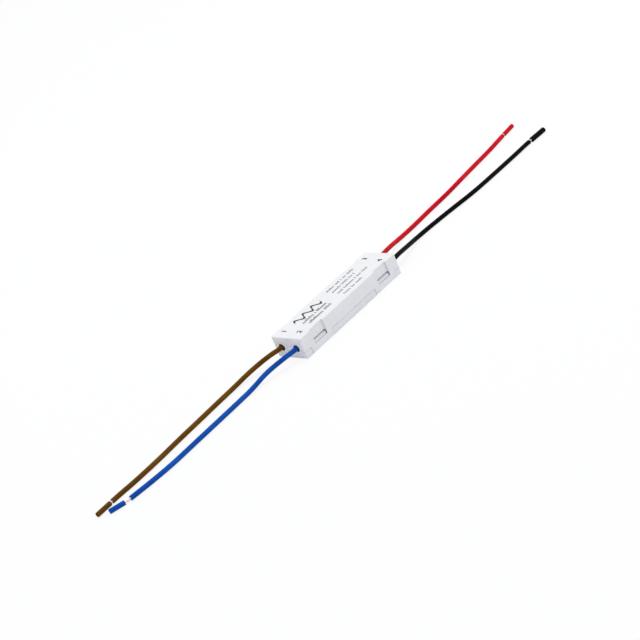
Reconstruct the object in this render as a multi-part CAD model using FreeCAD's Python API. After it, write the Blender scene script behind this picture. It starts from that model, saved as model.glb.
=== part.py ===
import FreeCAD, Part
import math
import os

from FreeCAD import Vector

# Housing, with its origin at the centre of the underside and X along its length
housing_length = 60.8
housing_width = 15.8
housing_height = 8.8
side_wall = 1.5
end_wall = 1.5
roof_thickness = 1.2
floor_thickness = 1.0
corner_radius = 0.8
top_edge_radius = 0.35
shell_gap = 0.12
foot_gap = 0.1

# How far the base has settled towards its mains end, within its gaps in the cover
base_slack = 0.1

# Tongues of the base that lie flush in notches of the cover's lower edge
tongue_to_window = 2.9
corner_tongue_length = 3.5
tongue_height = 2.75

# Snap windows in the cover, with the recess above each one, and the base's hooks in them
window_inset = 6.2
window_length = 7.5
window_bottom = 2.65
window_top = 4.54
recess_depth = 0.8
hook_side_gap = 0.25
hook_rise = 0.1
hook_thickness = 0.9
nose_depth = 1.2
nose_face_height = 1.0
nose_ramp_height = 0.42
hook_room = 0.3

# Wires and the round mouths that they leave by
wire_diameter = 1.92
conductor_diameter = 0.95
core_gap = 0.04
wire_inset = 4.02
wire_height = 4.3
mouth_radius = 1.5
mouth_seat_width = 4.9
comb_thickness = 1.2
comb_gap = 0.05
straight_out = 0.8
inside_end = 0.9
bare_bend_radius = 4.0

# Circuit board, and what carries it and holds it down
board_thickness = 1.0
board_side_gap = 0.3
board_end_gap = 0.4
solder_film = 0.04
ledge_width = 1.0
rib_thickness = 1.0
rib_width = 6.0
rib_inset = 1.5
pin_inset = 4.6
pin_radius = 0.75
pin_gap = 0.1
pin_shoulder = 0.6
pin_head = 0.5
post_to_hook_room = 1.0
post_length = 1.3
post_width = 1.0
post_gap = 0.05

# Solder
pad_solder_length = 2.6
pad_solder_width = 1.8
pad_solder_height = 1.15
pad_solder_round = 0.4
joint_radius = 0.75
joint_height = 0.6
joint_gap = 0.02

# Leads
lead_radius = 0.28
lead_hole_gap = 0.07
lead_stub = 0.9
leg_thickness = 0.18
leg_foot = 0.4

# Parts on the board
part_spacing = 0.8
body_lift = 0.1
capacitor_roof_gap = 0.3
capacitor_side_margin = 1.3
capacitor_round = 0.3
capacitor_lead_inset = 2.0
fusible_length = 6.0
fusible_radius = 1.05
fusible_cap_length = 1.1
fusible_cap_rise = 0.12
fusible_lead_out = 0.9
fusible_margin = 0.6
varistor_radius = 2.35
varistor_thickness = 2.5
varistor_round = 0.7
varistor_margin = 0.3
varistor_pitch = 2.6
bridge_length = 4.7
bridge_width = 3.8
bridge_height = 2.3
bridge_margin = 0.45
bridge_leg_pitch = 2.5
bridge_leg_width = 0.6
bridge_leg_reach = 1.2
zener_length = 4.2
zener_width = 2.5
zener_height = 2.1
zener_margin = 0.5
zener_tab_width = 1.4
zener_tab_reach = 0.45
smoothing_roof_gap = 0.2
smoothing_post_gap = 0.2
smoothing_groove = 0.2
smoothing_groove_place = 1.1
smoothing_pitch = 1.5
smoothing_lead_out = 0.7
chip_resistor_length = 2.0
chip_resistor_width = 1.25
chip_resistor_height = 0.55
chip_resistor_pitch = 2.5
chip_resistor_margin = 0.5
chip_resistor_post_gap = 0.15
chip_cap_length = 2.0
chip_cap_width = 1.25
chip_cap_height = 0.85
chip_cap_margin = 0.25
chip_end_length = 0.4
chip_end_rise = 0.03
coupler_length = 4.6
coupler_roof_gap = 0.5
coupler_margin = 0.38
coupler_leg_pitch = 2.54
coupler_leg_width = 0.7
coupler_leg_reach = 1.5
coupler_dot_radius = 0.35
coupler_dot_depth = 0.15
transistor_length = 1.4
transistor_width = 3.0
transistor_height = 1.0
transistor_leg_pitch = 0.95
transistor_leg_width = 0.4
transistor_leg_reach = 0.6

# Worked out from the sizes above
touch = 0.01
half_length = housing_length / 2
half_width = housing_width / 2
cavity_length = housing_length - 2 * end_wall
cavity_width = housing_width - 2 * side_wall
cavity_height = housing_height - roof_thickness
window_x = half_length - window_inset - window_length / 2
middle_tongue_length = 2 * (window_x - window_length / 2 - tongue_to_window)
wire_offset = half_width - wire_inset
comb_x = cavity_length / 2 - comb_thickness / 2
hook_length = window_length - 2 * hook_side_gap
hook_outer = cavity_width / 2 - shell_gap
hook_inner = hook_outer - hook_thickness
nose_bottom = window_bottom + hook_rise
hook_top = nose_bottom + nose_face_height + nose_ramp_height
insulation_start = cavity_length / 2 - comb_thickness - inside_end
lying = wire_diameter / 2
arc_share = 0.45

# The board's own edges and heights
board_length = cavity_length - 2 * (comb_thickness + inside_end + board_end_gap)
board_width = cavity_width - 2 * board_side_gap
board_top = wire_height - conductor_diameter / 2 - solder_film
board_bottom = board_top - board_thickness
board_side = board_width / 2
notched_side = hook_inner - hook_room
headroom = cavity_height - board_top
pin_x = board_length / 2 - pin_inset
post_x = window_x - hook_length / 2 - hook_room - post_to_hook_room - post_length / 2
pad_x = board_length / 2 - pad_solder_length / 2 - part_spacing / 2

along_x = Vector(1, 0, 0)
along_y = Vector(0, 1, 0)
along_z = Vector(0, 0, 1)
origin = Vector(0, 0, 0)


def block(length, width, height, x=0.0, y=0.0, z=0.0):
    """A box centred on x and y that stands on height z."""
    return Part.makeBox(length, width, height, Vector(x - length / 2, y - width / 2, z))


def rod(radius, start, end):
    """A round bar from one point to another."""
    return Part.makeCylinder(radius, (end - start).Length, start, end - start)


def at_both_ends(shape):
    return [shape, shape.mirror(origin, along_x)]


def at_both_sides(shape):
    return [shape, shape.mirror(origin, along_y)]


def at_four_corners(shape):
    return [copy for half in at_both_ends(shape) for copy in at_both_sides(half)]


def extruded(points, direction):
    """A flat outline through the points, drawn out along a direction."""
    return Part.Face(Part.makePolygon(points + points[:1])).extrude(direction)


def joined(shapes):
    """One solid made of shapes that touch or overlap."""
    return shapes[0].fuse(shapes[1:]).removeSplitter()


def outer_form():
    """The housing as one closed form, from which both of its shells are cut."""
    form = block(housing_length, housing_width, housing_height)
    upright = [edge for edge in form.Edges if edge.BoundBox.ZLength > touch]
    form = form.makeFillet(corner_radius, upright)
    rim = [edge for edge in form.Edges if edge.BoundBox.ZMin > housing_height - touch]
    return form.makeFillet(top_edge_radius, rim)


def wire_bars(radius, start, end):
    """Bars along X, on the lines of the four wires."""
    inner = Vector(start, wire_offset, wire_height)
    outer = Vector(end, wire_offset, wire_height)
    return at_four_corners(rod(radius, inner, outer))


def mouth_cuts():
    """The round mouths in the end walls, and the narrower grooves in the combs behind them."""
    mouths = wire_bars(mouth_radius, half_length - end_wall, half_length + touch)
    return mouths + wire_bars(wire_diameter / 2 + comb_gap, insulation_start, half_length)


def end_notch():
    """The notch in the cover for the tongue that runs round one end of the base."""
    length = corner_tongue_length + shell_gap
    return block(length, housing_width, tongue_height + shell_gap, half_length - length / 2)


def top_cover():
    """The cover: roof and walls, with windows, recesses, notches and the ribs under its roof."""
    cover = outer_form()
    middle_notch = block(middle_tongue_length + 2 * shell_gap, housing_width, tongue_height + shell_gap)
    seat = mouth_seat_width + 2 * shell_gap
    seat_x = half_length - end_wall / 2
    cuts = [
        block(cavity_length, cavity_width, cavity_height),
        block(housing_length, housing_width, foot_gap),
        middle_notch,
    ]
    cuts += at_both_ends(end_notch())
    cuts += at_four_corners(block(end_wall, seat, wire_height, seat_x, wire_offset))
    wall_y = half_width - side_wall / 2
    window = block(window_length, side_wall, window_top - window_bottom, window_x, wall_y, window_bottom)
    recess = block(
        window_length,
        recess_depth,
        housing_height - window_top,
        window_x,
        half_width - recess_depth / 2,
        window_top,
    )
    cuts += at_four_corners(window) + at_four_corners(recess)
    cover = cover.cut(cuts)

    rib_height = cavity_height - wire_height - shell_gap
    clamp = block(comb_thickness, cavity_width, rib_height, comb_x, 0, wire_height + shell_gap)
    post_y = board_width / 2 - post_width / 2
    post_bottom = board_top + post_gap
    post = block(post_length, post_width, cavity_height - post_bottom, post_x, post_y, post_bottom)
    cover = joined([cover] + at_both_ends(clamp) + at_four_corners(post))
    return cover.cut(mouth_cuts())


def hook():
    """One springy hook of the base: an upright arm with a nose that faces out into its window."""
    arm_y = (hook_inner + hook_outer) / 2
    arm = block(hook_length, hook_thickness, hook_top, window_x, arm_y)
    start = window_x - hook_length / 2
    nose = extruded(
        [
            Vector(start, hook_outer, nose_bottom),
            Vector(start, hook_outer + nose_depth, nose_bottom),
            Vector(start, hook_outer + nose_depth, nose_bottom + nose_face_height),
            Vector(start, hook_outer, hook_top),
        ],
        Vector(hook_length, 0, 0),
    )
    return arm.fuse(nose)


def base():
    """The base: floor, flush tongues, hooks, wire seats and combs, and the board's carriers."""
    settled = -base_slack * along_x
    reach = corner_tongue_length + base_slack
    end_tongue = block(reach, housing_width, tongue_height, half_length + base_slack - reach / 2)
    tongues = [block(middle_tongue_length, housing_width, tongue_height)] + at_both_ends(end_tongue)
    tongues = [tongue.translated(settled) for tongue in tongues]
    rim = outer_form().common(tongues[0].fuse(tongues[1:]))
    rim = rim.cut(block(cavity_length, cavity_width, housing_height, z=floor_thickness))
    inner_width = cavity_width - 2 * shell_gap
    floor = block(cavity_length, inner_width, floor_thickness)
    comb = block(comb_thickness, inner_width, wire_height, comb_x)
    seat = block(end_wall, mouth_seat_width, wire_height, half_length - end_wall / 2, wire_offset)
    ledge_y = cavity_width / 2 - ledge_width / 2
    ledge = block(middle_tongue_length, ledge_width, board_bottom, 0, ledge_y)
    rib = block(rib_thickness, rib_width, board_bottom, board_length / 2 - rib_inset)
    pin_foot = Vector(pin_x, 0, 0)
    shoulder = rod(pin_radius + pin_shoulder, pin_foot, pin_foot + along_z * board_bottom)
    pin = rod(pin_radius, pin_foot, pin_foot + along_z * (board_top + pin_head))
    solids = [rim, floor]
    solids += at_both_ends(comb) + at_four_corners(seat) + at_both_sides(ledge) + at_both_ends(rib)
    solids += at_both_ends(shoulder) + at_both_ends(pin)
    solids += [corner.translated(settled) for corner in at_four_corners(hook())]
    return joined(solids).cut(mouth_cuts())


def leg(width, reach, height, x=0.0, y=0.0, side=1):
    """A bent flat leg of a part with flat legs, from its side down to a foot on the board."""
    knee = reach - leg_foot
    outline = [
        (0.0, height),
        (knee, height),
        (knee, leg_thickness),
        (reach, leg_thickness),
        (reach, 0.0),
        (knee - leg_thickness, 0.0),
        (knee - leg_thickness, height - leg_thickness),
        (0.0, height - leg_thickness),
    ]
    points = [Vector(x - width / 2, y + side * out, board_top + up) for out, up in outline]
    return extruded(points, Vector(width, 0, 0))


def flat_legged(length, width, height, x, y, pitches, leg_width, reach):
    """A moulded body with bent legs along both long sides."""
    lead_height = (height + body_lift) / 2
    body = block(length, width, height, x, y, board_top + body_lift)
    legs = [
        leg(leg_width, reach, lead_height, x + place, y + side * width / 2, side)
        for place in pitches
        for side in (-1, 1)
    ]
    return joined([body] + legs)


# Parts at the mains end of the board, worked out from its wire pads inwards
fusible_outer_lead = pad_x - pad_solder_length / 2 - part_spacing
fusible_x = fusible_lead_out + fusible_length / 2 - fusible_outer_lead
fusible_inner_lead = fusible_x + fusible_length / 2 + fusible_lead_out
fusible_y = notched_side - fusible_margin - fusible_radius - fusible_cap_rise
capacitor_start = fusible_inner_lead + lead_radius + part_spacing
capacitor_length = -part_spacing / 2 - capacitor_start
capacitor_x = capacitor_start + capacitor_length / 2
capacitor_width = board_width - 2 * capacitor_side_margin
capacitor_height = headroom - capacitor_roof_gap
varistor_x = capacitor_start - part_spacing - varistor_radius
varistor_y = varistor_radius + varistor_margin - notched_side

# Parts at the output end, worked out from the middle and from the locating pin
bridge_x = part_spacing / 2 + bridge_length / 2
bridge_y = board_side - bridge_margin - bridge_leg_reach - bridge_width / 2
zener_x = part_spacing / 2 + zener_tab_reach + zener_length / 2
zener_y = zener_width / 2 + zener_margin - board_side
coupler_x = pin_x - pin_radius - part_spacing - coupler_length / 2
coupler_start = coupler_x - coupler_length / 2
coupler_width = 2 * (notched_side - coupler_margin - coupler_leg_reach)
coupler_height = headroom - body_lift - coupler_roof_gap
smoothing_lead_x = bridge_x + bridge_length / 2 + part_spacing + lead_radius
smoothing_start = smoothing_lead_x + smoothing_lead_out
smoothing_length = coupler_start - part_spacing - smoothing_start
smoothing_radius = (headroom - smoothing_roof_gap) / 2
smoothing_y = board_side - post_width - smoothing_post_gap - smoothing_radius
chip_resistor_start = zener_x + zener_length / 2 + zener_tab_reach + part_spacing
chip_resistor_end = min(coupler_start - part_spacing, post_x - post_length / 2 - chip_resistor_post_gap)
chip_resistor_spread = chip_resistor_end - chip_resistor_start - chip_resistor_length
chip_resistor_y = chip_resistor_width / 2 + chip_resistor_margin - board_side
chip_cap_pitch = wire_offset - pad_solder_width / 2 - chip_cap_margin - chip_cap_width / 2

# Where leads pass through the board
capacitor_leads = [
    Vector(capacitor_start + capacitor_lead_inset, 0, 0),
    Vector(capacitor_start + capacitor_length - capacitor_lead_inset, 0, 0),
]
fusible_leads = [
    Vector(-fusible_outer_lead, fusible_y, 0),
    Vector(fusible_inner_lead, fusible_y, 0),
]
varistor_leads = [
    Vector(varistor_x, varistor_y - varistor_pitch / 2, 0),
    Vector(varistor_x, varistor_y + varistor_pitch / 2, 0),
]
smoothing_leads = [
    Vector(smoothing_lead_x, smoothing_y - smoothing_pitch / 2, 0),
    Vector(smoothing_lead_x, smoothing_y + smoothing_pitch / 2, 0),
]
lead_places = capacitor_leads + fusible_leads + varistor_leads + smoothing_leads
lead_end = board_bottom - lead_stub


def circuit_board():
    """The board, notched beside the hooks, with holes for the pins and the leads."""
    board = block(board_length, board_width, board_thickness, z=board_bottom)
    notch_width = board_width / 2 - hook_inner + hook_room
    notch = block(
        hook_length + 2 * hook_room,
        notch_width,
        board_thickness,
        window_x,
        board_width / 2 - notch_width / 2,
        board_bottom,
    )
    pin_hole = rod(pin_radius + pin_gap, Vector(pin_x, 0, board_bottom), Vector(pin_x, 0, board_top))
    lead_holes = [
        rod(lead_radius + lead_hole_gap, place + along_z * board_bottom, place + along_z * board_top)
        for place in lead_places
    ]
    return board.cut(at_four_corners(notch) + at_both_ends(pin_hole) + lead_holes)


def input_capacitor():
    """A boxed film capacitor on its side, with two straight leads."""
    case = block(capacitor_length, capacitor_width, capacitor_height, capacitor_x, 0, board_top)
    case = case.makeFillet(capacitor_round, case.Edges)
    leads = [
        rod(lead_radius, place + along_z * lead_end, place + along_z * (board_top + body_lift))
        for place in capacitor_leads
    ]
    return joined([case] + leads)


def bent_lead(place, body_x, height):
    """A round lead that leaves a lying part along X and turns down through the board."""
    corner = place + along_z * height
    drop = rod(lead_radius, place + along_z * lead_end, corner)
    run = rod(lead_radius, corner, Vector(body_x, place.y, height))
    return drop.fuse([run, Part.makeSphere(lead_radius, corner)])


def fusible_resistor():
    """A lying round resistor with a thicker cap at each end."""
    height = board_top + body_lift + fusible_radius + fusible_cap_rise
    start = Vector(fusible_x - fusible_length / 2, fusible_y, height)
    end = Vector(fusible_x + fusible_length / 2, fusible_y, height)
    cap = along_x * fusible_cap_length
    cap_radius = fusible_radius + fusible_cap_rise
    solids = [
        rod(fusible_radius, start, end),
        rod(cap_radius, start, start + cap),
        rod(cap_radius, end - cap, end),
    ]
    solids += [bent_lead(place, fusible_x, height) for place in fusible_leads]
    return joined(solids)


def varistor():
    """A round dipped varistor that lies flat, with two leads under it."""
    foot = Vector(varistor_x, varistor_y, board_top + body_lift)
    disc = rod(varistor_radius, foot, foot + along_z * varistor_thickness)
    disc = disc.makeFillet(varistor_round, [edge for edge in disc.Edges if edge.BoundBox.ZLength < touch])
    leads = [
        rod(lead_radius, place + along_z * lead_end, place + along_z * (foot.z + varistor_thickness / 2))
        for place in varistor_leads
    ]
    return joined([disc] + leads)


def bridge_rectifier():
    places = [-bridge_leg_pitch / 2, bridge_leg_pitch / 2]
    return flat_legged(
        bridge_length,
        bridge_width,
        bridge_height,
        bridge_x,
        bridge_y,
        places,
        bridge_leg_width,
        bridge_leg_reach,
    )


def zener_diode():
    """A moulded diode with a flat tab at each end."""
    body = block(zener_length, zener_width, zener_height, zener_x, zener_y, board_top)
    tabs = block(
        zener_length + 2 * zener_tab_reach, zener_tab_width, leg_thickness, zener_x, zener_y, board_top
    )
    return joined([body, tabs])


def smoothing_capacitor():
    """A lying round electrolytic capacitor with its pressed groove and two leads."""
    height = board_top + touch + smoothing_radius
    start = Vector(smoothing_start, smoothing_y, height)
    can = rod(smoothing_radius, start, start + along_x * smoothing_length)
    groove_centre = start + along_x * smoothing_groove_place
    groove = Part.makeTorus(
        smoothing_radius + smoothing_groove, 2 * smoothing_groove, groove_centre, along_x
    )
    leads = [bent_lead(place, start.x + smoothing_groove_place, height) for place in smoothing_leads]
    return joined([can.cut(groove)] + leads)


def optocoupler():
    """A four-legged optocoupler with a round mark sunk beside its first leg."""
    places = [-coupler_leg_pitch / 2, coupler_leg_pitch / 2]
    body = flat_legged(
        coupler_length,
        coupler_width,
        coupler_height,
        coupler_x,
        0.0,
        places,
        coupler_leg_width,
        coupler_leg_reach,
    )
    top = board_top + body_lift + coupler_height
    dot = Vector(coupler_x - coupler_leg_pitch / 2, coupler_width / 2 - 2 * coupler_dot_radius, top)
    return body.cut(rod(coupler_dot_radius, dot - along_z * coupler_dot_depth, dot))


def output_transistor():
    """A small moulded transistor with three legs on one side and one on the other."""
    lead_height = (transistor_height + body_lift) / 2
    body = block(
        transistor_length, transistor_width, transistor_height, pad_x, 0, board_top + body_lift
    )
    places = [(-transistor_leg_pitch, 1), (0.0, 1), (transistor_leg_pitch, 1), (0.0, -1)]
    legs = []
    for place, side in places:
        start = side * transistor_length / 2
        turned = leg(transistor_leg_width, transistor_leg_reach, lead_height, place, start, side)
        turned.rotate(origin, along_z, -90)
        turned.translate(Vector(pad_x, 0, 0))
        legs.append(turned)
    return joined([body] + legs)


def chip(length, width, height, x, y):
    """A chip part: a flat body with a slightly proud metal cap at each end."""
    body = block(length - 2 * chip_end_length, width, height, x, y, board_top)
    cap = block(chip_end_length, width + chip_end_rise, height + chip_end_rise, z=board_top)
    caps = [
        cap.translated(Vector(x + side * (length - chip_end_length) / 2, y, 0)) for side in (-1, 1)
    ]
    return joined([body] + caps)


def chip_resistors():
    """Two rows of two chip resistors."""
    return Part.makeCompound(
        [
            chip(
                chip_resistor_length,
                chip_resistor_width,
                chip_resistor_height,
                chip_resistor_start + chip_resistor_length / 2 + column * chip_resistor_spread,
                chip_resistor_y + row * chip_resistor_pitch,
            )
            for column in (0, 1)
            for row in (0, 1)
        ]
    )


def chip_capacitors():
    """A row of three chip capacitors across the board between the mains pads."""
    return Part.makeCompound(
        [
            chip(chip_cap_length, chip_cap_width, chip_cap_height, -pad_x, place * chip_cap_pitch)
            for place in (-1, 0, 1)
        ]
    )


def solder_joints():
    """The mound of solder over each wire's core, and the cone round each lead under the board."""
    mound = block(pad_solder_length, pad_solder_width, pad_solder_height, pad_x, wire_offset, board_top)
    upper = [edge for edge in mound.Edges if edge.BoundBox.ZMin > board_top + pad_solder_height - touch]
    mound = mound.makeFillet(pad_solder_round, upper)
    core = rod(
        conductor_diameter / 2 + joint_gap,
        Vector(pad_x - pad_solder_length, wire_offset, wire_height),
        Vector(pad_x + pad_solder_length, wire_offset, wire_height),
    )
    cones = []
    for place in lead_places:
        foot = place + along_z * board_bottom
        cone = Part.makeCone(joint_radius, lead_radius + lead_hole_gap, joint_height, foot, -along_z)
        cones.append(cone.cut(rod(lead_radius + joint_gap, foot, foot - along_z * joint_height)))
    return Part.makeCompound(at_four_corners(mound.cut(core)) + cones)


def path(route, name=None, radius=None):
    """Edges along a route: straight runs joined by tangent arcs as large as the runs allow."""
    edges = []
    radii = []
    start = route[0]
    for before, corner, after in zip(route, route[1:], route[2:]):
        back = before - corner
        on = after - corner
        half_turn = (math.pi - back.getAngle(on)) / 2
        reach = radius * math.tan(half_turn) if radius else arc_share * min(back.Length, on.Length)
        arc_radius = reach / math.tan(half_turn)
        radii.append(round(arc_radius, 1))
        entry = corner + back.normalize() * reach
        leave = corner + on.normalize() * reach
        inward = (back + on).normalize()
        middle = corner + inward * (arc_radius / math.cos(half_turn) - arc_radius)
        edges.append(Part.LineSegment(start, entry).toShape())
        edges.append(Part.Arc(entry, middle, leave).toShape())
        start = leave
    edges.append(Part.LineSegment(start, route[-1]).toShape())
    if name:
        print(name, "bend radii", radii)
    return edges


def tube(edges, radius, bore=0.0):
    """A round cord along the edges, hollow where it has a bore."""
    start = edges[0].Vertexes[0].Point
    direction = edges[0].tangentAt(edges[0].FirstParameter)
    outline = Part.Wire(Part.makeCircle(radius, start, direction))
    rings = [outline]
    if bore:
        rings.append(Part.Wire(Part.makeCircle(bore, start, direction)))
    spine = Part.Wire(edges)
    swept = [spine.makePipeShell([ring], True, False) for ring in rings]
    body = swept[0].cut(swept[1]) if bore else swept[0]
    section = math.pi * (radius**2 - bore**2)
    print("  length", round(spine.Length, 2), "volume ratio", round(body.Volume / section / spine.Length, 5))
    return body


class SwitchWire:
    """One wire: its core, its insulation, and the short piece of insulation left on its tip."""

    def __init__(self, colour, route, bare, slug_length, slug_diameter=wire_diameter, bend=0.0):
        self.colour = colour
        self.insulated = path(route, colour)
        self.slug_radius = slug_diameter / 2
        end = route[-1]
        onward = (end - route[-2]).normalize()
        corner = end + onward * bare / 2
        self.direction = FreeCAD.Rotation(along_z, bend).multVec(onward)
        self.slug_start = corner + self.direction * bare / 2
        self.tip = self.slug_start + self.direction * slug_length
        core_end = self.tip - self.direction * bare
        bare_points = [end, corner, core_end] if bend else [end, core_end]
        pad_end = Vector(math.copysign(pad_x - pad_solder_length / 2, end.x), route[0].y, wire_height)
        bare_path = path(bare_points, radius=bare_bend_radius)
        self.core_path = path([pad_end, route[0]]) + self.insulated + bare_path

    def insulation(self):
        return tube(self.insulated, wire_diameter / 2, conductor_diameter / 2 + core_gap)

    def conductor(self):
        return tube(self.core_path, conductor_diameter / 2)

    def end_slug(self):
        outer = rod(self.slug_radius, self.slug_start, self.tip)
        return outer.cut(rod(conductor_diameter / 2 + core_gap, self.slug_start, self.tip))


def leaving(end, side):
    """The first two points of a wire: inside its comb, and just outside its mouth."""
    y = side * wire_offset
    return [
        Vector(end * insulation_start, y, wire_height),
        Vector(end * (half_length + straight_out), y, wire_height),
    ]


# Routes of the insulated wires from the comb to the bare gap, chosen by hand
black_slug_diameter = 2.3
black_lying = black_slug_diameter / 2
brown_route = leaving(-1, 1) + [
    Vector(-36.0, 6.1, 4.2),
    Vector(-44.5, 9.2, 2.6),
    Vector(-53.2, 11.7, lying),
    Vector(-63.0, 11.35, lying),
    Vector(-74.0, 10.6, lying),
    Vector(-86.0, 10.4, lying),
    Vector(-98.5, 9.4, lying),
    Vector(-112.0, 9.7, lying),
    Vector(-123.1, 9.6, lying),
]
blue_route = leaving(-1, -1) + [
    Vector(-36.2, -2.6, 4.2),
    Vector(-44.8, 0.7, 2.7),
    Vector(-53.0, 1.9, lying),
    Vector(-63.0, 1.55, lying),
    Vector(-74.5, 1.2, lying),
    Vector(-87.0, 1.2, lying),
    Vector(-99.0, 1.0, lying),
    Vector(-110.0, 1.6, lying),
    Vector(-120.0, 2.75, lying),
]
red_route = leaving(1, 1) + [
    Vector(36.4, 4.9, 4.2),
    Vector(44.8, 8.3, 2.8),
    Vector(53.4, 10.6, lying),
    Vector(64.0, 10.7, lying),
    Vector(76.0, 11.3, lying),
    Vector(88.5, 11.7, lying),
    Vector(101.0, 12.9, lying),
    Vector(114.0, 13.95, lying),
    Vector(126.5, 14.85, lying),
    Vector(138.7, 16.2, lying),
]
black_route = leaving(1, -1) + [
    Vector(36.4, -2.9, 4.2),
    Vector(45.0, -0.2, 2.7),
    Vector(54.5, 2.0, lying),
    Vector(65.0, 1.7, lying),
    Vector(77.0, 0.15, lying),
    Vector(90.0, -1.4, lying),
    Vector(102.5, -2.0, lying),
    Vector(113.5, -2.2, lying),
    Vector(123.5, -2.15, black_lying),
    Vector(133.0, -2.65, black_lying),
]

brown_bare = 1.0
brown_slug_length = 6.9
blue_bare = 2.55
blue_slug_length = 6.3
blue_bend = -15.0
red_bare = 1.5
red_slug_length = 7.7
black_bare = 1.2
black_slug_length = 9.1

wires = [
    SwitchWire("brown", brown_route, brown_bare, brown_slug_length),
    SwitchWire("blue", blue_route, blue_bare, blue_slug_length, bend=blue_bend),
    SwitchWire("red", red_route, red_bare, red_slug_length),
    SwitchWire("black", black_route, black_bare, black_slug_length, black_slug_diameter),
]

nodes = {
    "top_cover": top_cover(),
    "base": base(),
    "circuit_board": circuit_board(),
    "input_capacitor": input_capacitor(),
    "fusible_resistor": fusible_resistor(),
    "varistor": varistor(),
    "bridge_rectifier": bridge_rectifier(),
    "zener_diode": zener_diode(),
    "smoothing_capacitor": smoothing_capacitor(),
    "chip_resistors": chip_resistors(),
    "chip_capacitors": chip_capacitors(),
    "optocoupler": optocoupler(),
    "output_transistor": output_transistor(),
    "solder_joints": solder_joints(),
}
for wire in wires:
    nodes[wire.colour + "_insulation"] = wire.insulation()
    nodes[wire.colour + "_conductor"] = wire.conductor()
    nodes[wire.colour + "_end_slug"] = wire.end_slug()
    print(wire.colour, "slug from", wire.slug_start, "to", wire.tip, "along", wire.direction)

os.makedirs("parts", exist_ok=True)
for node, shape in nodes.items():
    shape.exportStep("parts/" + node + ".step")
    print(node, "solids", len(shape.Solids), "valid", shape.isValid(), "volume", round(shape.Volume, 2))
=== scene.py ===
# %% [markdown]
# # A switch decoupler module with four wires
#
# The real object is a white box the size of a finger: two plastic shells snapped together
# round a small circuit board, with two thin wires at each end. A short piece of insulation
# is left on each wire's tip, to be pulled off before wiring.
#
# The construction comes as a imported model, at its real size. This lesson dresses it: the
# rigid pieces keep their shape and get a finish, while the wires are modelled again,
# because a cord needs a smooth line and twisted strands.

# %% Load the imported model
import math

import bmesh
import bpy
import numpy as np
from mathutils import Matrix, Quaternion, Vector


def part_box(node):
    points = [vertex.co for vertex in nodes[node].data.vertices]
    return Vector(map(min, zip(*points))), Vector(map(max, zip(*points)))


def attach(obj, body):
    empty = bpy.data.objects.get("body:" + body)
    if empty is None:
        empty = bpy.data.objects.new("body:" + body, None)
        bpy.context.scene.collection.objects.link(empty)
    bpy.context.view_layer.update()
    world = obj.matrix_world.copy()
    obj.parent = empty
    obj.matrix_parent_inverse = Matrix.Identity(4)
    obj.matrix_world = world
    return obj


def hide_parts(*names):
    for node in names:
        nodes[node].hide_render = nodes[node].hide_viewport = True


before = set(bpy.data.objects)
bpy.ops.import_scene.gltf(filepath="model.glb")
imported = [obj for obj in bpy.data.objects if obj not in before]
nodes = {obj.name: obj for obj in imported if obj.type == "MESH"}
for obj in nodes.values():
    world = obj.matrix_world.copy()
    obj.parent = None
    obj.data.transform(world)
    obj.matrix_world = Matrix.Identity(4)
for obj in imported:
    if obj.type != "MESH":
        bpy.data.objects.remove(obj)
scene = bpy.context.scene
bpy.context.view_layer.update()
cover_low, cover_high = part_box("top_cover")

# %% [markdown]
# ## Camera
#
# The photograph looks down on the box from its front left, through a long lens, with
# the camera leaning to the right. Its turn is worked out once, without a constraint:
# first it looks at a point, and then it rolls about its own line of sight.

# %% Place the camera
camera_place = Vector((-0.4173, -0.48757, 0.30276))
looked_at = Vector((-0.006376, 0.005783, 0.000759))
lens_length = 103.07
camera_lean = math.radians(-22.88)


def new_object(name, data):
    """An object that carries this data, linked into the scene."""
    made = bpy.data.objects.new(name, data)
    scene.collection.objects.link(made)
    return made


camera_data = bpy.data.cameras.new("photo_camera")
camera_data.sensor_width = 36.0
camera_data.lens = lens_length
camera_data.clip_start = 0.01
camera_data.clip_end = 20.0
camera = new_object("photo_camera", camera_data)
camera.location = camera_place
camera.rotation_mode = "QUATERNION"
level_aim = (looked_at - camera_place).to_track_quat("-Z", "Y")
camera.rotation_quaternion = level_aim @ Quaternion((0, 0, 1), camera_lean)
scene.camera = camera
print("camera:", round((looked_at - camera_place).length, 3), "m from the box")

# %% [markdown]
# ## Small helpers for node trees
#
# Every finish here is a tree of shader nodes. One helper makes a node, sets its options
# and fills or links its sockets. It wraps the node's outputs, so that arithmetic with
# them adds Math nodes: a weaker mask is written as the mask times a number.

# %% Define how a node is added


def node_for(operation):
    """What an arithmetic sign does: it adds a Math node for the values on its sides."""
    return lambda *values: maths(operation, *values)


class Value:
    """One output of a node. Arithmetic and comparisons with it add Math nodes."""

    __add__ = node_for("ADD")
    __sub__ = node_for("SUBTRACT")
    __mul__ = node_for("MULTIPLY")
    __truediv__ = node_for("DIVIDE")
    __lt__ = node_for("LESS_THAN")
    __gt__ = node_for("GREATER_THAN")
    __abs__ = node_for("ABSOLUTE")

    def __init__(self, socket):
        self.socket = socket
        self.tree = socket.id_data

    def __rsub__(self, other):
        return maths("SUBTRACT", other, self)

    def __rtruediv__(self, other):
        return maths("DIVIDE", other, self)


class Outputs:
    """A new node, whose outputs are read by name or by place."""

    def __init__(self, node):
        self.node = node
        self.tree = node.id_data

    def __getitem__(self, key):
        return Value(self.node.outputs[key])


def add(tree, kind, sockets=None, **options):
    """A new node. Sockets are numbers, colours or other nodes' outputs, by name or place."""
    node = tree.nodes.new(kind)
    for option, value in options.items():
        setattr(node, option, value)
    for socket, value in (sockets or {}).items():
        if isinstance(value, Value):
            tree.links.new(value.socket, node.inputs[socket])
        else:
            node.inputs[socket].default_value = value
    return Outputs(node)


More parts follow.
